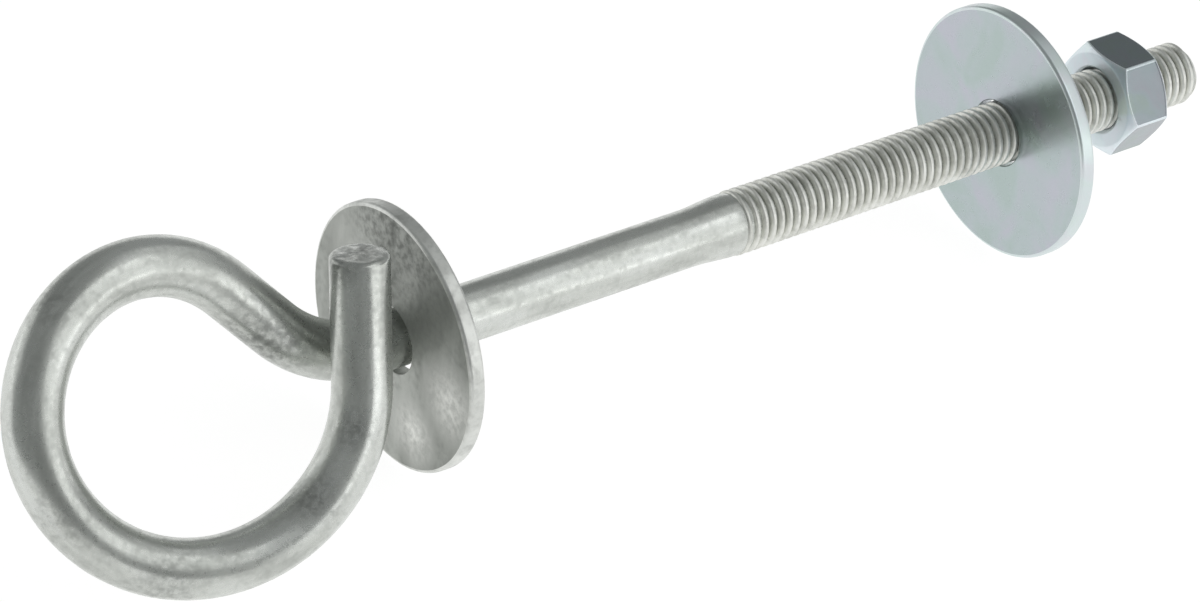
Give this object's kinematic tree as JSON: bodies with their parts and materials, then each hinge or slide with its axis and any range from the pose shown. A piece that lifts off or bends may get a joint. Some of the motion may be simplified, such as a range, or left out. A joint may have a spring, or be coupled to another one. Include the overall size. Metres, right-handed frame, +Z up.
{
  "type": "swing hook",
  "caption": "Galvanised pigtail swing hook: a threaded shank curled into an open ring, with a large washer for each side of the timber and a hexagon nut.",
  "frame": {"origin": "on the shank's axis, at the face with which the front washer bears on the timber", "axes": "+X along the shank from the ring to the nut, +Z up from the floor on which both washers and the ring rest"},
  "size_m": [0.2123, 0.0404, 0.0436],
  "materials": {
    "hot_dip_galvanised_bar": "hot-dip galvanised, satin and blotchy",
    "hot_dip_galvanised_washer": "hot-dip galvanised, dull with pale runs",
    "zinc_plated_washer": "bright zinc plated, satin",
    "zinc_plated_nut": "bright zinc plated"
  },
  "bodies": {
    "bolt": {"hook_bolt": "hot_dip_galvanised_bar"},
    "front_washer": {"front_washer": "hot_dip_galvanised_washer"},
    "rear_washer": {"rear_washer": "zinc_plated_washer"},
    "nut": {"hex_nut": "zinc_plated_nut"}
  },
  "joints": [
    {"name": "front_washer_slide", "type": "slide", "parent": "bolt", "child": "front_washer", "axis": [1, 0, 0], "range_m": [-0.004, 0.038]},
    {"name": "nut_travel", "type": "slide", "parent": "bolt", "child": "rear_washer", "axis": [1, 0, 0], "range_m": [-0.069, 0.009]},
    {"name": "nut_turn", "type": "hinge", "parent": "rear_washer", "child": "nut", "pos_m": [0.1329, 0, 0], "axis": [1, 0, 0], "range_deg": [-16560, 2160]}
  ],
  "couplings": [
    {"joint": "nut_turn", "follows": "nut_travel", "rad_per_m": 4188.8}
  ]
}
